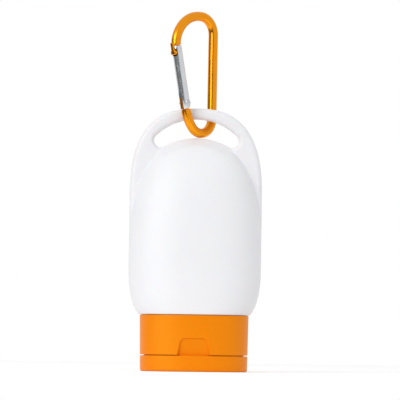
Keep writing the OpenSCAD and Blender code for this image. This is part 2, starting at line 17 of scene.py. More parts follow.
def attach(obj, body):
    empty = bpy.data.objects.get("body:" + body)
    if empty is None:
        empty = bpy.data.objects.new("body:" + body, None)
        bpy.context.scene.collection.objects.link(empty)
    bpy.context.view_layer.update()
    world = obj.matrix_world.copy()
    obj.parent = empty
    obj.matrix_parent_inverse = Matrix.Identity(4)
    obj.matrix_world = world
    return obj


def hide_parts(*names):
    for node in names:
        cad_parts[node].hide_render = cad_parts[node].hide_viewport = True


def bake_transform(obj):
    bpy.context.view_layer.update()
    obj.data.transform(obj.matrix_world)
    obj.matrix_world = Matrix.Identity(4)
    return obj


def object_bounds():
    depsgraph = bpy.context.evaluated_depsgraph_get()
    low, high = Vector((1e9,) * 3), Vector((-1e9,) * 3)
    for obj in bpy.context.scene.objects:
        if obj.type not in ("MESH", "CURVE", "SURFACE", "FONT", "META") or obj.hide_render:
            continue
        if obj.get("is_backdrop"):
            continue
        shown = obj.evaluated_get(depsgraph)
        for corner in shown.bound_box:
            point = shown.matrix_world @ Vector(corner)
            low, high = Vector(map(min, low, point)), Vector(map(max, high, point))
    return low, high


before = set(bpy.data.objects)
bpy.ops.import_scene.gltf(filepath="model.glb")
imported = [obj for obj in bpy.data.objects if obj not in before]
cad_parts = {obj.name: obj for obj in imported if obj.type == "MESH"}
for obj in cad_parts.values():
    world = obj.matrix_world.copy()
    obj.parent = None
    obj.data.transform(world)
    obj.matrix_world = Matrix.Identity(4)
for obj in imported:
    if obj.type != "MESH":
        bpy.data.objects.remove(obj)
cad_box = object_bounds()
print("CAD nodes:", ", ".join(sorted(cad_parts)))

# %% [markdown]
# ## Tools for meshes
# Most pieces here are skins through rings: every ring has the same number of points, and
# neighbouring rings are joined with quads. That one idea covers lathe-turned, oval and blown
# shapes, so it gets a helper. The other helpers put a mesh in the scene and clean it up.

# %% Mesh helpers
MM = 0.001
WELD = 1e-7


def ring_faces(rows, columns, closed_rows=False):
    """Quads between rows of points that each run right round."""
    faces = []
    for k in range(rows if closed_rows else rows - 1):
        a, b = k * columns, (k + 1) % rows * columns
        faces += [(a + i, a + (i + 1) % columns, b + (i + 1) % columns, b + i)
                  for i in range(columns)]
    return faces


def put(name, data):
    """A new object in the scene, at the origin."""
    obj = bpy.data.objects.new(name, data)
    bpy.context.scene.collection.objects.link(obj)
    return obj


def place(name, points, faces, smooth=True):
    """A new object with its place in its mesh."""
    mesh = bpy.data.meshes.new(name)
    mesh.from_pydata([tuple(p) for p in points], [], faces)
    mesh.polygons.foreach_set("use_smooth", [smooth] * len(mesh.polygons))
    return put(name, mesh)


def tidy(obj, crease=None, weld=WELD):
    """Merges doubles, turns the faces outwards and marks creases sharper than an angle."""
    work = bmesh.new()
    work.from_mesh(obj.data)
    bmesh.ops.remove_doubles(work, verts=work.verts, dist=weld)
    bmesh.ops.dissolve_degenerate(work, edges=work.edges, dist=weld)
    bmesh.ops.recalc_face_normals(work, faces=work.faces)
    open_edges = sum(1 for e in work.edges if not e.is_manifold)
    work.to_mesh(obj.data)
    work.free()
    if crease:
        obj.data.set_sharp_from_angle(angle=math.radians(crease))
    print(f"{obj.name}: {len(obj.data.polygons)} faces, {open_edges} open edges")
    return obj


def skin(name, rings, cap_first=True, cap_last=True, crease=None):
    """A closed skin through rings."""
    columns = len(rings[0])
    faces = ring_faces(len(rings), columns)
    if cap_first:
        faces.append(tuple(range(columns)))
    if cap_last:
        faces.append(tuple(range((len(rings) - 1) * columns, len(rings) * columns)))
    return tidy(place(name, np.concatenate(rings), faces), crease)


def turned(name, profile, columns, matrix=Matrix.Identity(4), crease=35):
    """A lathe-turned piece: profile is [(radius, height), ...] round the matrix's own Z.

    A profile that ends where it starts makes a ring."""
    turn = np.linspace(0, 2 * math.pi, columns, endpoint=False)
    rings = [[matrix @ Vector((r * math.cos(t), r * math.sin(t), h)) for t in turn]
             for r, h in profile]
    is_solid = profile[0] != profile[-1]
    return skin(name, rings, is_solid, is_solid, crease)


# %% [markdown]
# ## Tools for materials
# A finish is a Principled shader with noise in its colour, its roughness and its surface. The
# noise reads Object coordinates. All pieces sit at the origin, so these are plain metres, and a
# noise scale of 1000 gives grains about a millimetre across.

# %% Material helpers
NOISE_LOW, NOISE_HIGH = 0.3, 0.7
DRAWN_STRETCH = 0.06


def srgb(red, green, blue):
    """A colour as read from a picture, 0 to 255, turned into Blender's linear colour."""
    def linear(v):
        v /= 255
        return v / 12.92 if v <= 0.04045 else ((v + 0.055) / 1.055) ** 2.4
    return (linear(red), linear(green), linear(blue), 1.0)


def node(tree, kind, inputs=None, **settings):
    """Adds a node. An input is a value or another node's output socket."""
    made = tree.nodes.new(kind)
    for key, value in settings.items():
        setattr(made, key, value)
    for key, value in (inputs or {}).items():
        if isinstance(value, bpy.types.NodeSocket):
            tree.links.new(value, made.inputs[key])
        else:
            made.inputs[key].default_value = value
    return made


def math_node(tree, operation, first, second=0.0):
    return node(tree, "ShaderNodeMath", {0: first, 1: second}, operation=operation).outputs[0]


def blend_node(tree, factor, first, second):
    """A mix of two colours."""
    return node(tree, "ShaderNodeMix", {"Factor": factor, "A": first, "B": second},
                data_type="RGBA").outputs["Result"]


def coat(obj, material):
    """Gives an object one material."""
    obj.data.materials.clear()
    obj.data.materials.append(material)


def finish(name, light, dark, roughness, grain, depth, patches=60.0, sockets=None, stretch=(1, 1, 1),
           drawn=0.0):
    """Material with two tones in soft patches, a grain of that scale and depth, and varied gloss.

    light and dark are linear colours, roughness is (least, most), grain is a scale per metre,
    depth is the height of the grain in metres. drawn is how many faint lines run round the rod,
    by its attributes along and around; 0 takes the grain from the place instead."""
    material = bpy.data.materials.new(name)
    material.use_nodes = True
    tree = material.node_tree
    shader = tree.nodes["Principled BSDF"]
    for key, value in (sockets or {}).items():
        shader.inputs[key].default_value = value
    place_at = node(tree, "ShaderNodeTexCoord").outputs["Object"]
    if drawn:
        around, along = (node(tree, "ShaderNodeAttribute", attribute_name=attribute).outputs["Fac"]
                         for attribute in ("around", "along"))
        grain_at = node(tree, "ShaderNodeCombineXYZ", {
            "X": math_node(tree, "MULTIPLY", around, drawn / grain),
            "Y": math_node(tree, "MULTIPLY", along, DRAWN_STRETCH)}).outputs[0]
    else:
        grain_at = node(tree, "ShaderNodeMapping", {"Vector": place_at, "Scale": stretch}).outputs[0]
    broad = node(tree, "ShaderNodeTexNoise", {"Vector": place_at, "Scale": patches, "Detail": 3.0})
    fine = node(tree, "ShaderNodeTexNoise", {
        "Vector": grain_at, "Scale": grain, "Detail": 4.0, "Roughness": 0.6})
    tree.links.new(blend_node(tree, broad.outputs["Fac"], dark, light), shader.inputs["Base Color"])
    gloss = node(tree, "ShaderNodeMapRange", {
        "Value": fine.outputs["Fac"], "From Min": NOISE_LOW, "From Max": NOISE_HIGH,
        "To Min": roughness[0], "To Max": roughness[1]})
    tree.links.new(gloss.outputs[0], shader.inputs["Roughness"])
    bump = node(tree, "ShaderNodeBump", {
        "Height": fine.outputs["Fac"], "Distance": depth, "Strength": 1.0})
    tree.links.new(bump.outputs[0], shader.inputs["Normal"])
    return material


# %% [markdown]
# ## The finishes
# The bottle is white polyethylene, blown in a blasted mould: satin, with a faint orange-peel.
# The cap is orange polypropylene from a spark-eroded mould, with a finer, flatter grain. The
# hook is drawn aluminium rod, anodised orange and polished, and its gate is bare aluminium.
# Light gets a little way into both plastics, which a small subsurface weight shows. The cap's
# sheen is tinted, so that the side towards the lamp stays orange.

# %% Finishes
DRAWN_LINES = 26.0
BOTTLE_WHITE = finish(
    "bottle_polyethylene", srgb(241, 241, 244), srgb(238, 238, 241), (0.36, 0.46), 900, 0.000012,
    sockets={"Subsurface Weight": 0.12, "Subsurface Scale": 0.002, "IOR": 1.5})
CAP_ORANGE = finish(
    "cap_polypropylene", srgb(242, 132, 4), srgb(239, 127, 1), (0.36, 0.48), 2600, 0.000009,
    sockets={"Subsurface Weight": 0.06, "Subsurface Scale": 0.001, "IOR": 1.49,
             "Specular IOR Level": 0.8, "Specular Tint": (1.0, 0.8, 0.1, 1.0)})
HOOK_ORANGE = finish(
    "hook_anodised", srgb(250, 162, 34), srgb(245, 150, 24), (0.16, 0.27), 1500, 0.000003,
    patches=200, sockets={"Metallic": 1.0}, drawn=DRAWN_LINES)
GATE_METAL = finish(
    "gate_aluminium", srgb(226, 229, 232), srgb(214, 218, 222), (0.16, 0.28), 1800, 0.000004,
    patches=300, sockets={"Metallic": 1.0}, stretch=(1, 1, 0.12))
RIVET_METAL = finish(
    "rivet_aluminium", srgb(214, 216, 218), srgb(196, 199, 203), (0.22, 0.36), 3000, 0.000006,
    patches=500, sockets={"Metallic": 1.0})
SPRING_STEEL = finish(
    "spring_steel", srgb(176, 178, 182), srgb(150, 152, 158), (0.25, 0.4), 4000, 0.000003,
    patches=800, sockets={"Metallic": 1.0})
LINER_FOAM = finish(
    "liner_foam", srgb(240, 240, 238), srgb(222, 222, 220), (0.75, 0.95), 2500, 0.00012)

# %% [markdown]
# ## The outline of the bottle
# The blown body is a soft pillow that stands on an oval shoulder. Above, the two halves of the
# mould pinch it into a flat tab under an arch, so a flange of the same thickness runs down both
# sides. The arch and the pillow follow superellipses, and the half thickness at any place is
# the larger of tab and pillow, with a soft fold between the two.

# %% Shape of the body
HALF_W, HALF_D = 0.0264, 0.015
BOTTLE_TOP, BODY_BOTTOM = 0.105, 0.02245
ARCH_Z, FOOT_Z, FOOT_LEN = 0.070, 0.050, 0.0335
PILLOW_Z, PILLOW_TOP, FOLD = 0.045, 0.0919, 0.0016
TAB_R, WALL = 0.0019, 0.0011
ARCH_POWER, FOOT_POWER, SIDE_POWER, RISE_POWER = 2.55, 3.5, 2.6, 2.4
SHOULDER_W, SHOULDER_D = 0.02215, 0.0145


def swell(u, power):
    return np.maximum(0, 1 - np.abs(u) ** power) ** (1 / power)


def foot_half_w(z):
    return HALF_W * swell(np.maximum(0, FOOT_Z - z) / FOOT_LEN, FOOT_POWER)


SHOULDER_FIT = SHOULDER_W / foot_half_w(BODY_BOTTOM) - 1


def body_half_w(z):
    z = np.asarray(z, float)
    arch = HALF_W * swell(np.maximum(0, z - ARCH_Z) / (BOTTLE_TOP - ARCH_Z), ARCH_POWER)
    foot = foot_half_w(z) * (1 + SHOULDER_FIT * ((FOOT_Z - z) / (FOOT_Z - BODY_BOTTOM)) ** 2)
    return np.where(z >= ARCH_Z, arch, np.where(z >= FOOT_Z, HALF_W, foot))


def body_half_d(z):
    down = np.maximum(0, PILLOW_Z - z) / (PILLOW_Z - BODY_BOTTOM)
    return HALF_D - (HALF_D - SHOULDER_D) * down ** 3


def pillow_half(x, z, wall=0.0):
    """Half thickness of the pillow, taken in by the wall for the hollow inside."""
    rise = (np.maximum(0, z - PILLOW_Z) / (PILLOW_TOP - wall - PILLOW_Z)) ** RISE_POWER
    side = np.minimum(1, np.abs(x) / (body_half_w(np.minimum(z, PILLOW_Z)) - wall)) ** SIDE_POWER
    return (body_half_d(z) - wall) * np.sqrt(np.maximum(0, 1 - side - rise))


def soft_max(a, b, width):
    width = np.maximum(width, 1e-9)
    return np.maximum(a, b) + np.maximum(0, width - np.abs(a - b)) ** 2 / (4 * width)


def soft_min(a, b, width):
    return -soft_max(-a, -b, width)


def tab_half(inset):
    """Half thickness of the tab at a distance in from its round edge."""
    return TAB_R * np.sqrt(np.maximum(0, 1 - (1 - np.minimum(1, inset / TAB_R)) ** 2))


def shell_half(x, z, tab):
    return soft_max(pillow_half(x, z), tab, FOLD * tab / TAB_R)


print("half width at the shoulder, 50 mm and 90 mm:", body_half_w([BODY_BOTTOM, 0.05, 0.09]))

# %% [markdown]
# ## Below the arch: rings
# Up to the foot of the arch, every level is one closed ring, so a skin through rings gives an
# even mesh that follows the round flange. Cosine steps crowd the points at the flange.
# The same rings then turn under the shoulder, run round the neck and line the hollow inside.

# %% Rings of the lower body, the neck and the hollow
BODY_COLUMNS, OUTER_ROWS, HOLLOW_ROWS = 256, 80, 26
SEAM_Z = 0.070
SHOULDER_ROUND = 0.0006
NECK_R, BORE_R, NECK_END = 0.011, 0.0094, 0.011075
BEAD_Z, BEAD_H = 0.014275, 0.00035

around = np.linspace(0, 2 * math.pi, BODY_COLUMNS, endpoint=False)
side = np.sign(np.where(np.abs(np.sin(around)) < 1e-9, 0, np.sin(around)))


def level_ring(x, y, z):
    return np.column_stack([x, y, np.full_like(x, z)])


def body_ring(z, shrink=0.0):
    half = body_half_w(z)
    x = half * np.cos(around)
    y = side * shell_half(x, np.full_like(x, z), tab_half(half - np.abs(x)))
    return level_ring(x * (1 - shrink / half), y * (1 - shrink / body_half_d(z)), z)


def hollow_ring(z):
    rise = (max(0.0, z - PILLOW_Z) / (PILLOW_TOP - WALL - PILLOW_Z)) ** RISE_POWER
    half = (body_half_w(min(z, PILLOW_Z)) - WALL) * max(0.0, 1 - rise) ** (1 / SIDE_POWER)
    x = half * np.cos(around)
    return level_ring(x, side * pillow_half(x, np.full_like(x, z), WALL), z)


def round_ring(radius, z):
    return level_ring(radius * np.cos(around), radius * np.sin(around), z)


outer_levels = np.linspace(SEAM_Z, BODY_BOTTOM + SHOULDER_ROUND, OUTER_ROWS)
outer_rings = [body_ring(z) for z in outer_levels]
for turn in np.linspace(0, math.pi / 2, 7)[1:]:
    z = BODY_BOTTOM + SHOULDER_ROUND * (1 - math.sin(turn))
    outer_rings.append(body_ring(z, SHOULDER_ROUND * (1 - math.cos(turn))))
neck_profile = [(NECK_R + 0.0004, BODY_BOTTOM), (NECK_R, BODY_BOTTOM - 0.0004),
                (NECK_R, BEAD_Z + 0.0009), (NECK_R + BEAD_H, BEAD_Z), (NECK_R, BEAD_Z - 0.0006),
                (NECK_R, NECK_END + 0.0002), (NECK_R - 0.0002, NECK_END), (BORE_R + 0.0002, NECK_END),
                (BORE_R, NECK_END + 0.0002), (BORE_R, BODY_BOTTOM + WALL)]
neck_rings = [round_ring(r, z) for r, z in neck_profile]
hollow_low, hollow_high = BODY_BOTTOM + WALL, PILLOW_TOP - WALL - 0.0006
hollow_rings = [hollow_ring(hollow_low + (hollow_high - hollow_low) * math.sin(turn))
                for turn in np.linspace(0, math.pi / 2, HOLLOW_ROWS)]
lower_rings = outer_rings + neck_rings + hollow_rings
lower_faces = ring_faces(len(lower_rings), BODY_COLUMNS)
hollow_end = (len(lower_rings) - 1) * BODY_COLUMNS
lower_faces.append(tuple(range(hollow_end, hollow_end + BODY_COLUMNS)))
print("rings below the arch:", len(outer_rings), "and inside:", len(neck_rings) + len(hollow_rings))

# %% [markdown]
# ## The arch and the slot
# The tab has a round edge outside and another round the slot. A boolean would cut the slot, but
# it leaves ragged faces just where the light runs along the edge. Here the sheet is drawn flat
# instead, as a triangulation whose points follow both edges in close rows, and each point then
# gets its half thickness. The front and back sheets meet along the two edges.

# %% Edge curves of the tab
SLOT_UPPER = (0.0775, 0.0230)
SLOT_LOWER = (0.0666, 0.0264)
SLOT_END_R = 0.0027
EDGE_STEP = 0.00042


def even_steps(curve, step, closed):
    """Points of a curve set out again at even steps."""
    curve = np.asarray(curve)
    if closed:
        curve = np.vstack([curve, curve[:1]])
    run = np.concatenate([[0], np.cumsum(np.linalg.norm(np.diff(curve, axis=0), axis=1))])
    count = max(2, round(run[-1] / step))
    marks = np.linspace(0, run[-1], count + 1)
    out = np.column_stack([np.interp(marks, run, curve[:, k]) for k in (0, 1)])
    return out[:-1] if closed else out


def left_normals(points, closed):
    """Unit normals on the left of the direction of travel."""
    if closed:
        run = np.roll(points, -1, axis=0) - np.roll(points, 1, axis=0)
    else:
        run = np.gradient(points, axis=0)
    run /= np.linalg.norm(run, axis=1)[:, None]
    return np.column_stack([-run[:, 1], run[:, 0]])


turn = np.linspace(0, math.pi, 4000)
arch = np.column_stack([
    HALF_W * np.sign(np.cos(turn)) * np.abs(np.cos(turn)) ** (2 / ARCH_POWER),
    ARCH_Z + (BOTTLE_TOP - ARCH_Z) * np.abs(np.sin(turn)) ** (2 / ARCH_POWER)])
arch = even_steps(arch, EDGE_STEP, False)

upper_reach = SLOT_UPPER[1] - SLOT_END_R
lower_reach = SLOT_LOWER[1] + SLOT_END_R
end_z = (upper_reach ** 2 - lower_reach ** 2 - SLOT_UPPER[0] ** 2 + SLOT_LOWER[0] ** 2) / (
    2 * (SLOT_LOWER[0] - SLOT_UPPER[0]))
end_x = math.sqrt(upper_reach ** 2 - (end_z - SLOT_UPPER[0]) ** 2)
upper_angle = math.atan2(end_x, end_z - SLOT_UPPER[0])
lower_angle = math.atan2(end_x, end_z - SLOT_LOWER[0])


def arc(cx, cz, radius, start, stop):
    a = np.linspace(start, stop, 400)
    return np.column_stack([cx + radius * np.sin(a), cz + radius * np.cos(a)])


slot = np.vstack([
    arc(0, SLOT_UPPER[0], SLOT_UPPER[1], -upper_angle, upper_angle),
    arc(end_x, end_z, SLOT_END_R, upper_angle, math.pi + lower_angle),
    arc(0, SLOT_LOWER[0], SLOT_LOWER[1], lower_angle, -lower_angle),
    arc(-end_x, end_z, SLOT_END_R, math.pi - lower_angle, 2 * math.pi - upper_angle)])
slot = even_steps(slot, EDGE_STEP, True)
print(f"slot {2 * (end_x + SLOT_END_R) / MM:.1f} mm wide, {len(slot)} points round it")

# %% Flat sheet with both edges in it
EDGE_ROWS = 9
GRID = 0.00042


def edge_distance(points, curve, closed):
    """Distance from each point to a curve, segment by segment."""
    start = curve if closed else curve[:-1]
    stop = np.roll(curve, -1, axis=0) if closed else curve[1:]
    best = np.full(len(points), 1.0)
    for a, b in zip(start, stop):
        run = b - a
        t = np.clip(((points - a) @ run) / (run @ run), 0, 1)
        best = np.minimum(best, np.linalg.norm(points - a - t[:, None] * run, axis=1))
    return best


def is_inside(points, curve):
    """True for points inside a closed curve."""
    inside = np.zeros(len(points), bool)
    for (ax, az), (bx, bz) in zip(curve, np.roll(curve, -1, axis=0)):
        crosses = (az > points[:, 1]) != (bz > points[:, 1])
        inside ^= crosses & (points[:, 0] < ax + (points[:, 1] - az) * (bx - ax) / (bz - az + 1e-15))
    return inside


row_insets = TAB_R * (1 - np.cos(np.linspace(0, math.pi / 2, EDGE_ROWS)))
arch_in = left_normals(arch, False)
slot_out = left_normals(slot, True)
seam_x = HALF_W * np.cos(np.linspace(0, math.pi, BODY_COLUMNS // 2 + 1))[1:-1]
seam = np.column_stack([seam_x, np.full_like(seam_x, SEAM_Z)])

flat = [arch, slot, seam]
insets = [np.zeros(len(arch)), np.zeros(len(slot)), HALF_W - np.abs(seam_x)]
for inset in row_insets[1:]:
    row = arch[1:-1] + arch_in[1:-1] * inset
    row = row[row[:, 1] > SEAM_Z + EDGE_STEP / 2]
    flat += [row, slot + slot_out * inset]
    insets += [np.full(len(row), inset), np.full(len(slot), inset)]

columns = np.arange(-HALF_W, HALF_W, GRID)
levels = np.arange(SEAM_Z + GRID * 0.8, BOTTLE_TOP, GRID * math.sqrt(3) / 2)
grid = np.array([(x + (k % 2) * GRID / 2, z) for k, z in enumerate(levels) for x in columns])
under_arch = is_inside(grid, np.vstack([arch, [[-HALF_W, ARCH_Z]]]))
arch_reach = np.where(under_arch, edge_distance(grid, arch, False), 0)
slot_reach = np.where(is_inside(grid, slot), 0, edge_distance(grid, slot, True))
clear = np.minimum(arch_reach, slot_reach)
keep = clear > TAB_R + GRID * 0.4
flat.append(grid[keep])
insets.append(clear[keep])
flat, insets = np.vstack(flat), np.concatenate(insets)

n_arch, n_slot, n_seam = len(arch), len(slot), len(seam_x)
outer_loop = list(range(n_arch)) + [n_arch + n_slot + k for k in reversed(range(n_seam))]
slot_loop = list(range(n_arch, n_arch + n_slot))
edges = [pair for loop in (outer_loop, slot_loop) for pair in zip(loop, loop[1:] + loop[:1])]
points2d, _, triangles, origins, _, _ = delaunay_2d_cdt(
    [Vector((x / MM, z / MM)) for x, z in flat], edges, [], 0, 1e-6)
points2d = np.array([tuple(p) for p in points2d]) * MM
sheet_inset = np.array([insets[o[0]] if o else 0.0 for o in origins])
centres = np.array([points2d[list(t)].mean(axis=0) for t in triangles])
outline = np.vstack([arch, seam * (-1, 1)])
solid = is_inside(centres, outline) & ~is_inside(centres, slot)
triangles = [t for t, ok in zip(triangles, solid) if ok]
print("sheet:", len(points2d), "points,", len(triangles), "triangles")

# %% [markdown]
# ## The whole bottle
# The sheet's points get their thickness. Next to the slot the pillow must not stand up as a
# cliff, so its height is held under a slope that starts at the slot's edge.

# %% Bottle body
PILLOW_SLOPE, SLOPE_START, SLOPE_FOLD = 1.7, 0.7, 0.0006

slot_clear = np.where(is_inside(points2d, slot), 0, edge_distance(points2d, slot, True))
tab = tab_half(sheet_inset)
pillow = pillow_half(points2d[:, 0], points2d[:, 1])
ramp = TAB_R + PILLOW_SLOPE * np.maximum(0, slot_clear - TAB_R * SLOPE_START)
pillow = np.where(pillow <= 0, 0, np.maximum(0, soft_min(pillow, ramp, SLOPE_FOLD)))
half = soft_max(pillow, tab, FOLD * tab / TAB_R)
half[sheet_inset <= 0] = 0
front = np.column_stack([points2d[:, 0], -half, points2d[:, 1]])
back = front * (1, -1, 1)
base = len(lower_rings) * BODY_COLUMNS
faces = lower_faces + [tuple(base + i for i in t) for t in triangles]
faces += [tuple(base + len(front) + i for i in reversed(t)) for t in triangles]
bottle = tidy(place("bottle_shell", np.concatenate(lower_rings + [front, back]), faces), weld=2e-6)
coat(bottle, BOTTLE_WHITE)
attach(bottle, "bottle")
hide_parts("bottle_body")

# %% [markdown]
# ## The cap: one tree for both mouldings
# The cap's base and its lid are ovals that taper a little, with walls, lips, a nozzle and a plug
# inside. Each is one closed skin: a list of stations (inset or radius, roundness, height) swept
# round the oval. Roundness 0 keeps the oval and 1 makes a circle, so that the same skin can run
# from the outer wall to the round nozzle. A Geometry Nodes tree does that for both mouldings.

# %% Geometry Nodes tree for an oval moulding
def new_tree(name, sockets):
    """An empty tree with a geometry going in and out and these named inputs."""
    tree = bpy.data.node_groups.new(name, "GeometryNodeTree")
    tree.interface.new_socket(name="Geometry", in_out="INPUT", socket_type="NodeSocketGeometry")
    for title, kind in sockets:
        tree.interface.new_socket(name=title, in_out="INPUT", socket_type="NodeSocket" + kind)
    tree.interface.new_socket(name="Geometry", in_out="OUTPUT", socket_type="NodeSocketGeometry")
    return tree, tree.nodes.new("NodeGroupInput").outputs, tree.nodes.new("NodeGroupOutput").inputs


def close_tree(tree, geometry, material, target):
    """Ends a tree with its instances made real and one material set. Ends a tree as the
    export needs it.
    """
    real = node(tree, "GeometryNodeRealizeInstances", {"Geometry": geometry}).outputs[0]
    coated = node(tree, "GeometryNodeSetMaterial", {"Geometry": real, "Material": material})
    tree.links.new(coated.outputs[0], target["Geometry"])


oval_tree, given, result = new_tree("oval_moulding", [
    ("Columns", "Int"), ("Stations", "Int"), ("Half Width", "Float"), ("Half Depth", "Float"),
    ("Draft", "Float"), ("Height", "Float"), ("Power", "Float"), ("Material", "Material")])


def calc(operation, first, second=0.0):
    """Arithmetic in the oval's tree."""
    return math_node(oval_tree, operation, first, second)


sheet = node(oval_tree, "GeometryNodeMeshGrid", {
    "Vertices X": calc("ADD", given["Columns"], 1.0),
    "Vertices Y": given["Stations"]}).outputs["Mesh"]
number = node(oval_tree, "GeometryNodeInputIndex").outputs[0]
column = calc("FLOOR", calc("DIVIDE", number, given["Stations"]))
station = calc("MODULO", number, given["Stations"])
angle = calc("MULTIPLY", calc("DIVIDE", column, given["Columns"]), 2 * math.pi)
sampled = node(oval_tree, "GeometryNodeSampleIndex", {
    "Geometry": given["Geometry"], "Index": station}, data_type="FLOAT_VECTOR")
oval_tree.links.new(node(oval_tree, "GeometryNodeInputPosition").outputs[0], sampled.inputs["Value"])
spot = node(oval_tree, "ShaderNodeSeparateXYZ", {0: sampled.outputs[0]}).outputs
low = calc("SUBTRACT", 1.0, calc("DIVIDE", spot[2], given["Height"]))
inward = calc("ADD", spot[0], calc("MULTIPLY", low, given["Draft"]))


def oval_axis(wave, half):
    """One coordinate of the oval, mixed with the circle's by roundness."""
    size = calc("POWER", calc("ABSOLUTE", wave), calc("DIVIDE", 2.0, given["Power"]))
    full = calc("MULTIPLY", size, calc("SIGN", wave))
    on_oval = calc("MULTIPLY", full, calc("SUBTRACT", half, inward))
    on_circle = calc("MULTIPLY", wave, spot[0])
    mixed = node(oval_tree, "ShaderNodeMix", {"Factor": spot[1], "A": on_oval, "B": on_circle})
    return mixed.outputs["Result"]


cosine = calc("COSINE", angle)
sine = calc("SINE", angle)
moved = node(oval_tree, "ShaderNodeCombineXYZ", {
    "X": oval_axis(cosine, given["Half Width"]), "Y": oval_axis(sine, given["Half Depth"]),
    "Z": spot[2]}).outputs[0]
bent = node(oval_tree, "GeometryNodeSetPosition", {"Geometry": sheet, "Position": moved}).outputs[0]
sewn = node(oval_tree, "GeometryNodeMergeByDistance", {"Geometry": bent, "Distance": WELD}).outputs[0]
soft = node(oval_tree, "GeometryNodeSetShadeSmooth", {"Geometry": sewn}).outputs[0]
close_tree(oval_tree, soft, given["Material"], result)


def grow(name, tree, source, values):
    """Runs a tree on a source object and keeps the result as a plain mesh."""
    source.name = name
    modifier = source.modifiers.new("grow", "NODES")
    modifier.node_group = tree
    for item in tree.interface.items_tree:
        if item.in_out == "INPUT" and item.name in values:
            modifier[item.identifier] = values[item.name]
    depsgraph = bpy.context.evaluated_depsgraph_get()
    mesh = bpy.data.meshes.new_from_object(
        source.evaluated_get(depsgraph), preserve_all_data_layers=True, depsgraph=depsgraph)
    source.modifiers.remove(modifier)
    source.data = mesh
    return source


# %% [markdown]
# ## Cap base
# The base snaps over the neck and carries the deck with the nozzle. Its front has a thumb
# recess: a flat face that leans back towards the seam, inside a thin bevelled rim. At the back a
# flat takes the hinge. Both are pressed into the fine skin by a rule for their depth, because a
# boolean would leave slivers on the long curved wall.

# %% Stations and shape of the cap base
CAP_W, CAP_D, CAP_H, CAP_DRAFT, OVAL_POWER = 0.02165, 0.014, 0.0223, 0.00035, 2.3
CAP_COLUMNS, FINE_H, FINE_STEP = 600, 0.0078, 0.00017
LID_TOP, BASE_BOTTOM = 0.006225, 0.006575
DECK_BOTTOM, DECK_TOP = 0.008475, 0.009875
CAP_WALL, LIP_GAP, LIP_WALL, LIP_H = 0.0013, 0.00025, 0.0008, 0.0011
NOZZLE_TIP, NOZZLE_R, NOZZLE_TIP_R, ORIFICE_R = 0.0032, 0.0032, 0.0026, 0.0015
RECESS_H, RECESS_HALF, RECESS_TOP_HALF, RECESS_DEPTH = 0.0067, 0.0066, 0.0052, 0.0017
RECESS_CORNER, RECESS_RUNOUT, RECESS_FOLD = 0.002, 0.0015, 0.00012
RECESS_RIM, RIM_SLOPE, OUTER_SHARE, SIDE_MARGIN = 0.0003, 3.2, 0.93, 0.001
FLAT_Y, FLAT_HALF, FLAT_TOP, FLAT_RUNOUT, FLAT_FOLD = 0.01325, 0.0089, 0.0110, 2.5, 0.00008


def round_edge(inset, z, radius, start, stop, steps=4):
    """Stations round an edge. Angles run from 0, inwards, to 90 degrees, upwards."""
    turns = [math.radians(start + (stop - start) * k / steps) for k in range(steps + 1)]
    return [(inset - radius * math.cos(t), 0.0, z + radius * math.sin(t)) for t in turns]


fine_rows = [(0.0, 0.0, z) for z in np.arange(BASE_BOTTOM + 0.00025, BASE_BOTTOM + FINE_H, FINE_STEP)]
plain_rows = [(0.0, 0.0, z) for z in np.linspace(BASE_BOTTOM + FINE_H + 0.0001, CAP_H - 0.0005, 12)]
lip_in = CAP_WALL + LIP_GAP
base_stations = (
    round_edge(0.00016, BASE_BOTTOM + 0.00016, 0.00016, -90, 0) + fine_rows + plain_rows
    + round_edge(0.0003, CAP_H - 0.0003, 0.0003, 0, 90)
    + [(CAP_WALL - 0.0002, 0.0, CAP_H), (CAP_WALL, 0.0, CAP_H - 0.0002),
       (CAP_WALL, 0.0, DECK_TOP + 0.0003), (CAP_WALL + 0.0003, 0.0, DECK_TOP),
       (0.006, 1.0, DECK_TOP), (ORIFICE_R, 1.0, DECK_TOP),
       (ORIFICE_R, 1.0, NOZZLE_TIP + 0.00015), (ORIFICE_R + 0.00015, 1.0, NOZZLE_TIP),
       (NOZZLE_TIP_R - 0.00025, 1.0, NOZZLE_TIP), (NOZZLE_TIP_R - 0.00006, 1.0, NOZZLE_TIP + 0.00009),
       (NOZZLE_TIP_R, 1.0, NOZZLE_TIP + 0.0003), (NOZZLE_R, 1.0, DECK_BOTTOM - 0.0005),
       (NOZZLE_R + 0.00015, 1.0, DECK_BOTTOM - 0.00013), (NOZZLE_R + 0.0005, 1.0, DECK_BOTTOM),
       (lip_in + LIP_WALL + 0.0004, 0.0, DECK_BOTTOM), (lip_in + LIP_WALL, 0.0, DECK_BOTTOM - 0.0004),
       (lip_in + LIP_WALL, 0.0, BASE_BOTTOM - LIP_H + 0.0002),
       (lip_in + LIP_WALL - 0.0002, 0.0, BASE_BOTTOM - LIP_H),
       (lip_in + 0.0002, 0.0, BASE_BOTTOM - LIP_H),
       (lip_in, 0.0, BASE_BOTTOM - LIP_H + 0.0002), (lip_in, 0.0, BASE_BOTTOM)])
base_stations.append(base_stations[0])
print("cap base:", len(base_stations), "stations")


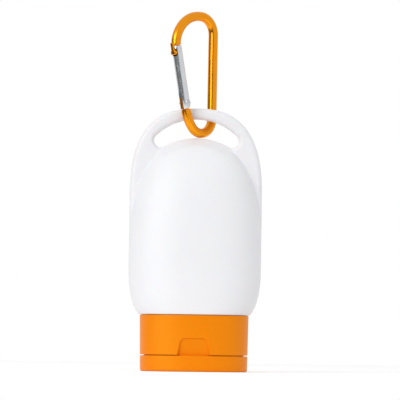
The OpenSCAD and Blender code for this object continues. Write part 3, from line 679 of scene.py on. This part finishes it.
def recess_depth(x, z, y):
    """How deep the thumb recess goes at a point of the front wall."""
    up = z - BASE_BOTTOM
    slant = math.atan2(RECESS_HALF - RECESS_TOP_HALF, RECESS_H)
    from_side = (RECESS_HALF - up * math.tan(slant) - np.abs(x)) * math.cos(slant)
    from_top = RECESS_H - up
    corner = RECESS_CORNER - np.hypot(np.maximum(0, RECESS_CORNER - from_side),
                                      np.maximum(0, RECESS_CORNER - from_top))
    inside = np.where((from_side < RECESS_CORNER) & (from_top < RECESS_CORNER), corner,
                      np.minimum(from_side, from_top))
    face = y + CAP_D - CAP_DRAFT - RECESS_DEPTH * (1 - up / (RECESS_H + RECESS_RUNOUT))
    floor = np.maximum(0, -face)
    rim = np.where(inside < RECESS_RIM, inside, RECESS_RIM + (inside - RECESS_RIM) * RIM_SLOPE)
    return np.maximum(0, soft_min(floor, np.maximum(0, rim), RECESS_FOLD))


def press_in(obj, recess):
    """Presses the thumb recess and the hinge flat into a moulding's outer wall."""
    x, y, z = np.array([vertex.co for vertex in obj.data.vertices]).T
    low = CAP_DRAFT * (1 - z / CAP_H)
    reach = (np.abs(x) / (CAP_W - low)) ** OVAL_POWER + (np.abs(y) / (CAP_D - low)) ** OVAL_POWER
    outer = reach > OUTER_SHARE
    if recess:
        front = outer & (y < 0) & (z >= BASE_BOTTOM - 1e-6) & (np.abs(x) < RECESS_HALF + SIDE_MARGIN)
        y = np.where(front, y + recess_depth(x, z, y), y)
    ledge = FLAT_Y + np.maximum(0, z - FLAT_TOP) * FLAT_RUNOUT
    behind = outer & (y > 0) & (np.abs(x) < FLAT_HALF + SIDE_MARGIN)
    y = np.where(behind, soft_min(y, ledge, FLAT_FOLD), y)
    obj.data.vertices.foreach_set("co", np.column_stack([x, y, z]).ravel())
    return obj


def moulding(name, stations, recess, slots, crease=28):
    source = place(name, stations, [])
    made = grow(name, oval_tree, source, {
        "Columns": CAP_COLUMNS, "Stations": len(stations), "Half Width": CAP_W, "Half Depth": CAP_D,
        "Draft": CAP_DRAFT, "Height": CAP_H, "Power": OVAL_POWER, "Material": CAP_ORANGE})
    tidy(press_in(made, recess), crease)
    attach(made, slots[0])
    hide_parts(slots[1])


moulding("cap_base_shell", base_stations, True, ("bottle", "cap_base"))

# %% [markdown]
# ## Sleeve inside the cap base
# The sleeve grips the bead on the neck. It stands on the deck and is a turned ring, so it is
# one more skin, with a groove where the bead snaps in.

# %% Sleeve
SLEEVE_IN, SLEEVE_OUT, SLEEVE_TOP = 0.01105, 0.01215, 0.0201
sleeve = turned("cap_sleeve", [
    (SLEEVE_IN, DECK_TOP - 0.0001), (SLEEVE_OUT, DECK_TOP - 0.0001),
    (SLEEVE_OUT, SLEEVE_TOP - 0.0003), (SLEEVE_OUT - 0.0003, SLEEVE_TOP),
    (SLEEVE_IN + 0.0005, SLEEVE_TOP), (SLEEVE_IN, SLEEVE_TOP - 0.0006),
    (SLEEVE_IN, BEAD_Z + 0.001), (SLEEVE_IN + BEAD_H, BEAD_Z), (SLEEVE_IN, BEAD_Z - 0.0007),
    (SLEEVE_IN, DECK_TOP - 0.0001)], 96)
coat(sleeve, CAP_ORANGE)
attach(sleeve, "bottle")
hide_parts("cap_base")

# %% [markdown]
# ## Lid
# The lid is a shallow oval dish, which the bottle stands on. Inside, a ring centres the nozzle
# and a plug closes its orifice. Outside, its lower edge is rounded and its upper edge has a fine
# bevel that catches the light along the seam.

# %% Flip lid
LID_FLOOR, LID_CORNER = 0.0014, 0.0008
PLUG_R, PLUG_TOP = 0.00145, 0.0046
RING_IN, RING_OUT, RING_H = 0.0036, 0.0044, 0.0012
lid_stations = (
    [(0.0, 1.0, 0.0), (0.004, 1.0, 0.0)]
    + round_edge(LID_CORNER, LID_CORNER, LID_CORNER, -90, 0, 8)
    + [(0.0, 0.0, z) for z in np.linspace(LID_CORNER + 0.0004, LID_TOP - 0.0004, 12)]
    + round_edge(0.0002, LID_TOP - 0.0002, 0.0002, 0, 90)
    + [(CAP_WALL - 0.00015, 0.0, LID_TOP), (CAP_WALL, 0.0, LID_TOP - 0.00015),
       (CAP_WALL, 0.0, LID_FLOOR + 0.0005),
       (CAP_WALL + 0.00015, 0.0, LID_FLOOR + 0.00015), (CAP_WALL + 0.0005, 0.0, LID_FLOOR),
       (RING_OUT, 1.0, LID_FLOOR), (RING_OUT, 1.0, LID_FLOOR + RING_H - 0.0002),
       (RING_OUT - 0.0002, 1.0, LID_FLOOR + RING_H), (RING_IN + 0.0002, 1.0, LID_FLOOR + RING_H),
       (RING_IN, 1.0, LID_FLOOR + RING_H - 0.0002), (RING_IN, 1.0, LID_FLOOR),
       (PLUG_R, 1.0, LID_FLOOR), (PLUG_R, 1.0, NOZZLE_TIP + 0.0002), (PLUG_R - 0.0004, 1.0, PLUG_TOP),
       (0.0, 1.0, PLUG_TOP)])
moulding("flip_lid_shell", lid_stations, False, ("lid", "flip_lid"))

# %% [markdown]
# ## Living hinge
# Cap and lid are one moulding, held together by thin films that fold hundreds of times. There is
# a wide one in the middle and a strap on each side. Each is a thin band across the seam, with
# ends that run out into the flat. On the real cap it bends about the joint when the lid opens.

# %% Hinge films
FILM_T, FILM_REACH, HINGE_Z = 0.0003, 0.0020, 0.0064
FILMS = {"hinge_film": (0.0, 0.0070), "hinge_strap_left": (-0.0062, 0.0030),
         "hinge_strap_right": (0.0062, 0.0030)}
FILM_ENDS = [(-0.5, 0.6), (-0.495, 0.2), (-0.48, 0.05), (-0.45, 0.0), (0.0, 0.0),
             (0.45, 0.0), (0.48, 0.05), (0.495, 0.2), (0.5, 0.6)]
FILM_FADE, FILM_PULL, INNER_SINK, OUTER_SINK = 0.2, 0.04, 0.00006, 0.00004


def film_section(round_off):
    """The band's section, up its inner side and down its outer one, thinner by round_off."""
    levels = np.linspace(-1, 1, 61)
    thick = FILM_T * np.clip((1 - np.abs(levels)) / FILM_FADE, 0, 1) ** 0.5 * (1 - round_off)
    z = HINGE_Z + levels * FILM_REACH * (1 - FILM_PULL * round_off)
    inner = [(FLAT_Y - INNER_SINK, h) for h in z]
    outer = [(FLAT_Y - OUTER_SINK + t, h) for t, h in zip(thick, z)]
    return inner + outer[::-1]


for film_name, (middle, width) in FILMS.items():
    rings = [[(middle + u * width, y, z) for y, z in film_section(r)] for u, r in FILM_ENDS]
    film = skin(film_name + "_band", rings, crease=50)
    coat(film, CAP_ORANGE)
    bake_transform(film)
    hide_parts(film_name)

# %% [markdown]
# ## The hook's plane and the line of its gate
# The snap hook hangs turned in the slot, with its plane 43 degrees off the bottle's front. Two
# matrices hold that: one for the hook's plane, and one that stands on the gate's pivot end with
# Z along the closed gate, X to the inner side of the hook and Y across it.

# %% Where the hook hangs
HOOK_YAW, HOOK_SHIFT = math.radians(43), 0.0011
PIVOT = (-0.006, 0.1041665)
GATE_LEAN, GATE_RUN = math.radians(12.4807), 0.0259101
ROD_R = 0.0019
BENDS = [(0.0, 0.016, 28), (0.0, 0.0061, 139), (0.034, 0.0068, 90), (0.0006, 0.013, 76),
         (0.0, 0.006, 27)]
HEADING = -77.5

hook_shift = Matrix.Translation((0, -HOOK_SHIFT * math.sin(HOOK_YAW), 0))
hook_plane = hook_shift @ Matrix.Rotation(HOOK_YAW, 4, "Z")
pivot_end = Matrix.Translation((PIVOT[0], 0, PIVOT[1]))
gate_line = hook_plane @ pivot_end @ Matrix.Rotation(-GATE_LEAN, 4, "Y")
print("pivot end of the gate:", [round(v, 5) for v in gate_line.translation])

# %% [markdown]
# ## Hook rod
# A wire bender makes the hook from straight rod, so its shape is a bend table: straight length,
# radius and angle for each bend. A path is drawn from the table, and a Geometry Nodes tree
# sweeps a circle along it. It also stores how far along and around the rod each point lies,
# which the finish uses for the faint lines that drawing leaves along the metal.

# %% Path of the rod
ROD_STEP, FLAT_LEN, END_FLAT, CREASE = 0.0004, 0.0024, 0.0031, 0.00007
END_BEVEL, END_GIRTH = 0.0002, 0.9


def rod_path():
    """Points of the rod's middle line in the hook's plane, with their distance along it."""
    heading, total = math.radians(HEADING), 0.0
    x, z = PIVOT
    steps = [(x, z, total)]
    for straight, radius, bend in BENDS:
        for _ in range(round(straight / ROD_STEP)):
            step = straight / round(straight / ROD_STEP)
            x, z = x + step * math.cos(heading), z + step * math.sin(heading)
            total += step
            steps.append((x, z, total))
        pieces = max(6, round(radius * math.radians(bend) / ROD_STEP))
        turn = math.radians(bend) / pieces
        for _ in range(pieces):
            cx, cz = x - radius * math.sin(heading), z + radius * math.cos(heading)
            heading += turn
            x, z = cx + radius * math.sin(heading), cz - radius * math.cos(heading)
            total += radius * turn
            steps.append((x, z, total))
    return np.array(steps)


bent_path = rod_path()
run = bent_path[:, 2]
rod_length = run[-1]
creases = [middle + off for middle in (FLAT_LEN, rod_length - FLAT_LEN) for off in (-CREASE, CREASE)]
bevels = [END_BEVEL, rod_length - END_BEVEL]
marks = sorted(set(np.round(np.concatenate([run, creases, bevels]), 7)))
marks = [m for k, m in enumerate(marks) if k == 0 or m - marks[k - 1] > 0.00005]
path = np.column_stack([np.interp(marks, run, bent_path[:, k]) for k in (0, 1)])
print(f"rod {rod_length / MM:.1f} mm long, ends at {path[-1] / MM}")

# %% Geometry Nodes tree for a swept rod
sweep_tree, given, result = new_tree("swept_rod", [
    ("Rod Radius", "Float"), ("Sides", "Int"), ("Material", "Material")])


def store(line, name, measure):
    """Keeps a measure of each point of a curve as an attribute."""
    value = node(sweep_tree, "GeometryNodeSplineParameter").outputs[measure]
    return node(sweep_tree, "GeometryNodeStoreNamedAttribute", {
        "Geometry": line, "Name": name, "Value": value}, data_type="FLOAT", domain="POINT").outputs[0]


line = node(sweep_tree, "GeometryNodeMeshToCurve", {"Mesh": given["Geometry"]}).outputs[0]
girth = node(sweep_tree, "GeometryNodeInputNamedAttribute", {"Name": "girth"}, data_type="FLOAT")
line = node(sweep_tree, "GeometryNodeSetCurveRadius", {
    "Curve": line, "Radius": girth.outputs[0]}).outputs[0]
line = store(line, "along", "Length")
circle = node(sweep_tree, "GeometryNodeCurvePrimitiveCircle", {
    "Resolution": given["Sides"], "Radius": given["Rod Radius"]}).outputs["Curve"]
circle = store(circle, "around", "Factor")
tube = node(sweep_tree, "GeometryNodeCurveToMesh", {
    "Curve": line, "Profile Curve": circle, "Fill Caps": True}).outputs[0]
tube = node(sweep_tree, "GeometryNodeSetShadeSmooth", {"Geometry": tube}).outputs[0]
close_tree(sweep_tree, tube, given["Material"], result)


def swept(name, points, girths, radius, sides, material):
    """A rod along a line of points, with its girth at each point as a share of the radius."""
    mesh = bpy.data.meshes.new(name)
    mesh.from_pydata([tuple(p) for p in points], [(k, k + 1) for k in range(len(points) - 1)], [])
    mesh.attributes.new("girth", "FLOAT", "POINT").data.foreach_set("value", girths)
    return grow(name, sweep_tree, put(name, mesh), {
        "Rod Radius": radius, "Sides": sides, "Material": material})


# %% Hook rod with its milled ends
girths = [END_GIRTH if min(m, rod_length - m) < END_BEVEL / 2 else 1.0 for m in marks]
hook_line = [hook_plane @ Vector((x, 0, z)) for x, z in path]
hook = swept("hook_rod", hook_line, girths, ROD_R, 48, HOOK_ORANGE)
to_plane = hook_plane.inverted()
for vertex, along in zip(hook.data.vertices, hook.data.attributes["along"].data):
    if along.value < FLAT_LEN or along.value > rod_length - FLAT_LEN:
        spot = to_plane @ vertex.co
        spot.y = max(-END_FLAT / 2, min(END_FLAT / 2, spot.y))
        vertex.co = hook_plane @ spot

# %% [markdown]
# ## Tongue and T-shaped latch
# At the lower end the rod is pressed into a flat tongue, which sits in the gate's slit and takes
# the rivet. The upper end is cut into a small T, which the closed gate hooks over. Both are
# blocks with rounded edges, joined to the rod's mesh, because on the real hook they are one
# piece of metal.

# %% Tongue and latch
def rounded_block(name, low, high, radius, matrix, segments=3):
    """A block with rounded edges, in the frame of the matrix."""
    work = bmesh.new()
    bmesh.ops.create_cube(work, size=1.0)
    low, high = Vector(low), Vector(high)
    for v in work.verts:
        v.co = Vector(low[k] + (v.co[k] + 0.5) * (high[k] - low[k]) for k in range(3))
    bmesh.ops.bevel(work, geom=work.edges[:], offset=radius, segments=segments, profile=0.5,
                    affect="EDGES")
    work.transform(matrix)
    mesh = bpy.data.meshes.new(name)
    work.to_mesh(mesh)
    work.free()
    mesh.polygons.foreach_set("use_smooth", [True] * len(mesh.polygons))
    return put(name, mesh)


def joined(parts):
    """Joins several objects' meshes into the first."""
    work = bmesh.new()
    for part in parts:
        work.from_mesh(part.data)
    work.to_mesh(parts[0].data)
    work.free()
    for part in parts[1:]:
        bpy.data.objects.remove(part)
    return parts[0]


TONGUE_HALF_W, TONGUE_HALF_T, TONGUE_UP = 0.0013, 0.0007, 0.0047
NECK_H, HEAD_H, HEAD_HALF_T, HEAD_OUT, LATCH_IN = 0.0021, 0.0017, 0.0013, 0.0026, 0.0013
head_z = GATE_RUN - NECK_H - HEAD_H
tongue = rounded_block("tongue", (-TONGUE_HALF_W, -TONGUE_HALF_T, -0.001),
                       (TONGUE_HALF_W, TONGUE_HALF_T, TONGUE_UP), 0.0003, gate_line)
neck = rounded_block("latch_neck", (-HEAD_OUT, -TONGUE_HALF_T, head_z + 0.0002),
                     (LATCH_IN, TONGUE_HALF_T, GATE_RUN + 0.001), 0.00012, gate_line)
head = rounded_block("latch_head", (-HEAD_OUT, -HEAD_HALF_T, head_z),
                     (LATCH_IN, HEAD_HALF_T, head_z + HEAD_H), 0.0004, gate_line)
hook = tidy(joined([hook, tongue, neck, head]), crease=32, weld=1e-8)
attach(hook, "hook")
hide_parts("hook_body")

# %% [markdown]
# ## Gate
# The gate is a turned tube. Its lower end is slit for the tongue, and its upper end has a
# keyhole that drops over the latch. The tube is a turned skin with rounded ends, and the slits
# are cut with booleans, because here the cuts are straight and sharp on the real part too.

# %% Gate
GATE_R, GATE_GAP, SLIT_HALF, SLIT_UP = 0.002, 0.00025, 0.00085, 0.0074
BORE, BORE_LOW, BORE_HIGH, BORE_TIP = 0.00125, 0.0008, 0.0142, 0.0148
MOUTH_GAP, RIVET_UP, RIVET_R, GATE_OPEN = 0.00055, 0.0026, 0.0008, math.radians(28)
gate_top = GATE_RUN - GATE_GAP
gate = turned("gate_tube", [
    (BORE, GATE_GAP + 0.0001), (BORE + 0.0001, GATE_GAP), (GATE_R - 0.0003, GATE_GAP),
    (GATE_R - 0.00009, GATE_GAP + 0.00009), (GATE_R, GATE_GAP + 0.0003), (GATE_R, 0.006),
    (GATE_R, 0.012), (GATE_R, 0.018), (GATE_R, gate_top - 0.0004),
    (GATE_R - 0.00012, gate_top - 0.00012),
    (GATE_R - 0.0004, gate_top), (0.0002, gate_top)], 96, gate_line)
bore = turned("bore", [
    (0.0002, BORE_LOW), (BORE, BORE_LOW), (BORE, BORE_HIGH), (0.0002, BORE_TIP)], 64, gate_line)


def slit(name, low, high, half, matrix, inner=0.006):
    """A cutter across the gate with round ends, along Z."""
    outline = [(half * math.cos(a), high - half + half * math.sin(a))
               for a in np.linspace(0, math.pi, 17)]
    outline += [(-half, low), (half, low)]
    rings = [[matrix @ Vector((x, y, z)) for y, z in outline] for x in (-0.006, inner)]
    return skin(name, rings, crease=20)


head_low = head_z - MOUTH_GAP
head_high = head_z + HEAD_H + MOUTH_GAP
lower_slit = slit("lower_slit", -0.002, SLIT_UP, SLIT_HALF, gate_line)
upper_slit = slit("upper_slit", head_z, GATE_RUN + 0.003, SLIT_HALF, gate_line, inner=0.0016)
mouth = rounded_block("mouth", (-0.006, -0.0015, head_low), (0.0016, 0.0015, head_high), 0.0006,
                      gate_line)
relief_line = gate_line @ Matrix.Translation((-0.0003, 0, GATE_GAP))
relief = rounded_block("relief", (0, -0.004, -0.004), (0.008, 0.004, 0), 0.0001,
                       relief_line @ Matrix.Rotation(-GATE_OPEN, 4, "Y"))
rivet_line = gate_line @ Matrix.Translation((0, 0, RIVET_UP)) @ Matrix.Rotation(math.pi / 2, 4, "X")
pin_hole = turned("pin_hole", [
    (0.0001, -0.003), (RIVET_R, -0.003), (RIVET_R, 0.003), (0.0001, 0.003)], 48, rivet_line)
cutters = (bore, lower_slit, upper_slit, mouth, relief, pin_hole)
for cutter in cutters:
    cut = gate.modifiers.new(cutter.name, "BOOLEAN")
    cut.operation, cut.object, cut.solver = "DIFFERENCE", cutter, "EXACT"
depsgraph = bpy.context.evaluated_depsgraph_get()
cut_mesh = bpy.data.meshes.new_from_object(gate.evaluated_get(depsgraph), depsgraph=depsgraph)
gate.modifiers.clear()
gate.data = cut_mesh
for cutter in cutters:
    bpy.data.objects.remove(cutter)
coat(gate, GATE_METAL)
tidy(gate, crease=30)
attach(gate, "gate")
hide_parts("gate")

# %% [markdown]
# ## Rivet, spring and plunger
# The gate turns on a rivet with two low domed heads. A small spring in the bore presses a
# plunger on the tongue, which snaps the gate shut. The rivet is turned. The spring is a coil,
# swept by the same tree as the rod, and is squeezed between plunger and gate. The plunger
# hardly shows, and its CAD solid has the right shape, so it stays and only gets its finish.

# %% Rivet
RIVET_OUT = 0.0024
rivet_half = [(RIVET_R, GATE_R - 0.0004), (0.0011, GATE_R - 0.0003), (0.0011, GATE_R + 0.0001),
              (0.00098, GATE_R + 0.00024), (0.0007, RIVET_OUT - 0.00004), (0.0003, RIVET_OUT)]
rivet_profile = [(r, -h) for r, h in reversed(rivet_half)] + rivet_half
rivet = turned("rivet_pin", rivet_profile, 48, rivet_line, crease=50)
coat(rivet, RIVET_METAL)
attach(rivet, "gate")
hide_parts("gate_rivet")

# %% Spring
SPRING_LOW, SPRING_H, SPRING_TURNS = 0.00693, 0.0072, 7
SPRING_WIRE_R, SPRING_R = 0.00015, 0.001
turns = np.linspace(0, SPRING_TURNS, SPRING_TURNS * 20 + 1)
coil = [gate_line @ Vector((SPRING_R * math.cos(2 * math.pi * t), SPRING_R * math.sin(2 * math.pi * t),
                            SPRING_LOW + SPRING_H * t / SPRING_TURNS)) for t in turns]
spring = swept("spring_coil", coil, [1.0] * len(coil), SPRING_WIRE_R, 10, SPRING_STEEL)
tidy(spring, weld=1e-8)
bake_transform(spring)
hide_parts("gate_spring")

# %% Carried-over nodes get their finish
for name, material in (("gate_plunger", SPRING_STEEL), ("neck_liner", LINER_FOAM)):
    coat(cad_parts[name], material)

# %% [markdown]
# ## Floor, light and camera
# The picture has a white ground and soft light from the upper left. The floor is pale and matte,
# and a little glow, for camera and glossy rays, lifts it to white where no shadow falls. The
# world is white to the camera too. For light it is softer, and dark at the front and the left,
# because polished metal shows its surroundings, and a dark side is what draws the stripes on the
# hook and the gate. The gate mirrors what lies low in front, so the floor ends early there.

# %% Floor
FLOOR_HALF, FLOOR_FRONT, FLOOR_BACK, FLOOR_Z = 0.2, -0.2, 0.6, -0.00002
PAPER_DARK, PAPER_LIGHT, FLOOR_GLOW = (0.88, 0.88, 0.88, 1), (0.9, 0.9, 0.9, 1), 0.2
corners = [(-FLOOR_HALF, FLOOR_FRONT), (FLOOR_HALF, FLOOR_FRONT),
           (FLOOR_HALF, FLOOR_BACK), (-FLOOR_HALF, FLOOR_BACK)]
floor = place("floor", [(x, y, FLOOR_Z) for x, y in corners], [(0, 1, 2, 3)], smooth=False)
ground = bpy.data.materials.new("pale_floor")
ground.use_nodes = True
tree = ground.node_tree
tree.nodes.clear()
rays = node(tree, "ShaderNodeLightPath").outputs
seen = math_node(tree, "MAXIMUM", rays["Is Camera Ray"], rays["Is Glossy Ray"])
speckle = node(tree, "ShaderNodeTexNoise", {
    "Vector": node(tree, "ShaderNodeTexCoord").outputs["Object"], "Scale": 40.0})
paper = blend_node(tree, speckle.outputs["Fac"], PAPER_DARK, PAPER_LIGHT)
matte = node(tree, "ShaderNodeBsdfDiffuse", {"Color": paper})
glow = node(tree, "ShaderNodeEmission", {"Strength": math_node(tree, "MULTIPLY", seen, FLOOR_GLOW)})
both = node(tree, "ShaderNodeAddShader", {0: matte.outputs[0], 1: glow.outputs[0]})
tree.links.new(both.outputs[0], node(tree, "ShaderNodeOutputMaterial").inputs["Surface"])
coat(floor, ground)
floor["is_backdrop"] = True

# %% World
DARK_SIDE, BRIGHT_SIDE = 0.12, 0.82
BRIGHTENS = {"X": (-0.1, 0.35), "Y": (0.0, 0.6), "Z": (0.2, 0.6)}
world = bpy.data.worlds.new("studio")
bpy.context.scene.world = world
world.use_nodes = True
tree = world.node_tree
tree.nodes.clear()
rays = node(tree, "ShaderNodeLightPath").outputs
direction = node(tree, "ShaderNodeTexCoord").outputs["Generated"]
facing = node(tree, "ShaderNodeSeparateXYZ", {0: direction}).outputs
ambient = DARK_SIDE
for axis, (start, stop) in BRIGHTENS.items():
    ramp = node(tree, "ShaderNodeMapRange", {
        "Value": facing[axis], "From Min": start, "From Max": stop,
        "To Min": DARK_SIDE, "To Max": BRIGHT_SIDE}, interpolation_type="SMOOTHSTEP")
    ambient = math_node(tree, "MAXIMUM", ramp.outputs[0], ambient)
level = node(tree, "ShaderNodeMix", {"Factor": rays["Is Camera Ray"], "A": ambient, "B": 1.0})
sky = node(tree, "ShaderNodeBackground", {"Color": (1, 1, 1, 1), "Strength": level.outputs["Result"]})
tree.links.new(sky.outputs[0], node(tree, "ShaderNodeOutputWorld").inputs["Surface"])

# %% Key lamp
KEY_AT, KEY_AIM = Vector((-0.78, -0.96, 0.50)), Vector((0, 0, 0.06))
KEY_SIZE, KEY_POWER = (1.0, 1.1), 9.9
lamp = bpy.data.lights.new("key", "AREA")
lamp.shape, lamp.energy = "RECTANGLE", KEY_POWER
lamp.size, lamp.size_y = KEY_SIZE
key = put("key", lamp)
key.location = KEY_AT
key.rotation_euler = (KEY_AIM - KEY_AT).to_track_quat("-Z", "Y").to_euler()

# %% [markdown]
# ## Camera
# The camera stands 1 m in front, close to the level of the table, and looks slightly up, which
# is what keeps the cap's lower edge straight in the picture. It is rolled by less than a degree.

# %% Camera
DISTANCE, ELEVATION, ROLL = 1.0, math.radians(-3.4), math.radians(0.75)
AIM = Vector((0.00172, 0, 0.06835))
VIEW_WIDTH, SENSOR = 0.15966, 0.036

camera_data = bpy.data.cameras.new("camera")
camera_data.sensor_width = SENSOR / MM
camera_data.lens = SENSOR / MM * DISTANCE / VIEW_WIDTH
camera_data.clip_start = 0.01
camera = put("camera", camera_data)
camera.location = AIM + DISTANCE * Vector((0, -math.cos(ELEVATION), math.sin(ELEVATION)))
look = (AIM - camera.location).to_track_quat("-Z", "Y").to_matrix().to_4x4()
camera.rotation_euler = (look @ Matrix.Rotation(ROLL, 4, "Z")).to_euler()
bpy.context.scene.camera = camera
bpy.context.scene.view_settings.view_transform = "Standard"

# %% Sizes
dressed_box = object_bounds()
boxes = {"cad": [list(corner) for corner in cad_box], "dressed": [list(corner) for corner in dressed_box]}
for title, (low, high) in boxes.items():
    print(title, [round((b - a) / MM, 2) for a, b in zip(low, high)])
